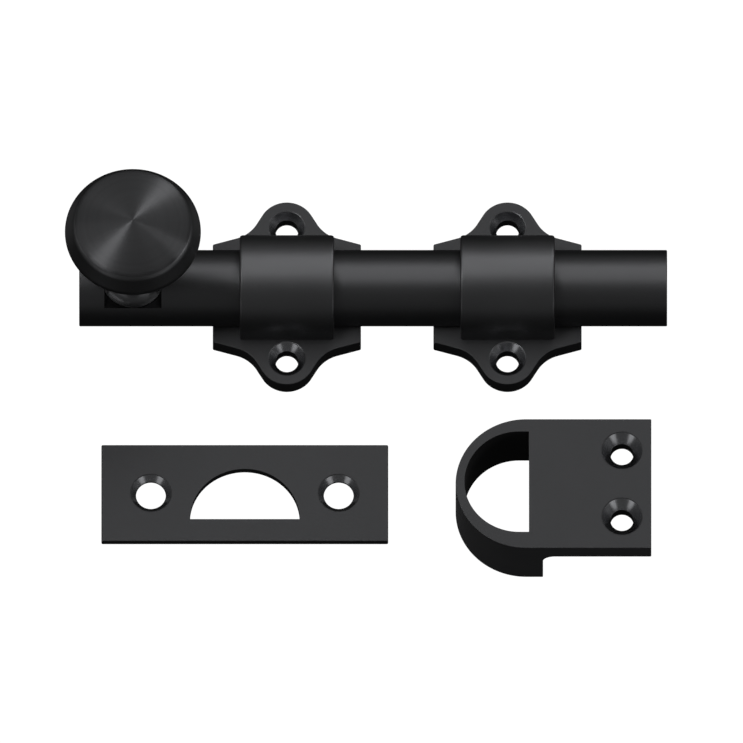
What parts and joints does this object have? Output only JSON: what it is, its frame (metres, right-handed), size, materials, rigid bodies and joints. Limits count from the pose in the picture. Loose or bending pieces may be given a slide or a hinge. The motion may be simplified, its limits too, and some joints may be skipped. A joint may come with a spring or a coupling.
{
  "type": "surface bolt with knob and strikes",
  "caption": "Half-round surface bolt with a round turned knob, two screw-on guides, a flat mortise strike plate and a rim strike with a D-shaped loop.",
  "frame": {"origin": "centre of the four guide screws, on the plane of the door face that the guides rest on", "axes": "+X is the way the bar is thrown, +Z points away from the door face towards the knob, and +Y points from the strikes to the bolt"},
  "size_m": [0.1496, 0.0996, 0.0503],
  "materials": {
    "bar_black": "satin black on a drawn bar",
    "knob_black": "satin black over a turned face",
    "guide_black": "satin black",
    "strike_black": "satin black",
    "blackened_screw": "blackened steel",
    "spring_steel": "plain spring steel"
  },
  "bodies": {
    "fixed_kit": {"guide_left": "guide_black", "guide_right": "guide_black", "strike_plate": "strike_black", "rim_strike": "strike_black"},
    "bolt": {"slide_bar": "bar_black", "knob": "knob_black", "knob_screw": "blackened_screw", "friction_spring": "spring_steel", "stop_screw": "blackened_screw"}
  },
  "joints": [
    {"name": "bolt_slide", "type": "slide", "parent": "fixed_kit", "child": "bolt", "axis": [1, 0, 0], "range_m": [0, 0.01905]}
  ]
}
